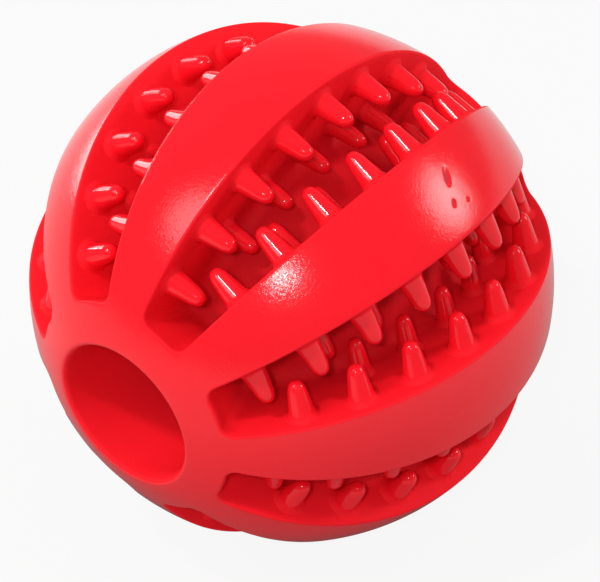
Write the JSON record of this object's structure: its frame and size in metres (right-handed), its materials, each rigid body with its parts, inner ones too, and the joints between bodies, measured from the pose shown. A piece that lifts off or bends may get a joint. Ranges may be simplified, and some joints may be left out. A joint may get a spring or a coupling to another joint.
{
  "type": "treat dispensing ball",
  "caption": "Hollow red rubber treat ball for a dog, with a round treat hole at each end, broad lengthwise ribs and grooves lined with cone teeth that rub the dog's teeth.",
  "frame": {"origin": "The centre of the ball.", "axes": "The line through both treat holes is Y, with the front hole facing -Y. +Z passes through the middle of the top rib. +X is to the right, seen from the front."},
  "size_m": [0.07, 0.0662, 0.07],
  "materials": {
    "satin_red_rubber": "satin with a fine grain",
    "glossy_red_rubber": "smooth and glossy"
  },
  "bodies": {
    "root": {"core_shell": "glossy_red_rubber", "front_mouth_collar": "satin_red_rubber", "rear_mouth_collar": "satin_red_rubber", "rib_1": "satin_red_rubber", "rib_2": "satin_red_rubber", "rib_3": "satin_red_rubber", "rib_4": "satin_red_rubber", "rib_5": "satin_red_rubber", "rib_6": "satin_red_rubber", "rib_7": "satin_red_rubber", "rib_8": "satin_red_rubber", "groove_1_left_teeth": "glossy_red_rubber", "groove_1_right_teeth": "glossy_red_rubber", "groove_2_left_teeth": "glossy_red_rubber", "groove_2_right_teeth": "glossy_red_rubber", "groove_3_left_teeth": "glossy_red_rubber", "groove_3_right_teeth": "glossy_red_rubber", "groove_4_left_teeth": "glossy_red_rubber", "groove_4_right_teeth": "glossy_red_rubber", "groove_5_left_teeth": "glossy_red_rubber", "groove_5_right_teeth": "glossy_red_rubber", "groove_6_left_teeth": "glossy_red_rubber", "groove_6_right_teeth": "glossy_red_rubber", "groove_7_left_teeth": "glossy_red_rubber", "groove_7_right_teeth": "glossy_red_rubber", "groove_8_left_teeth": "glossy_red_rubber", "groove_8_right_teeth": "glossy_red_rubber"}
  },
  "joints": []
}
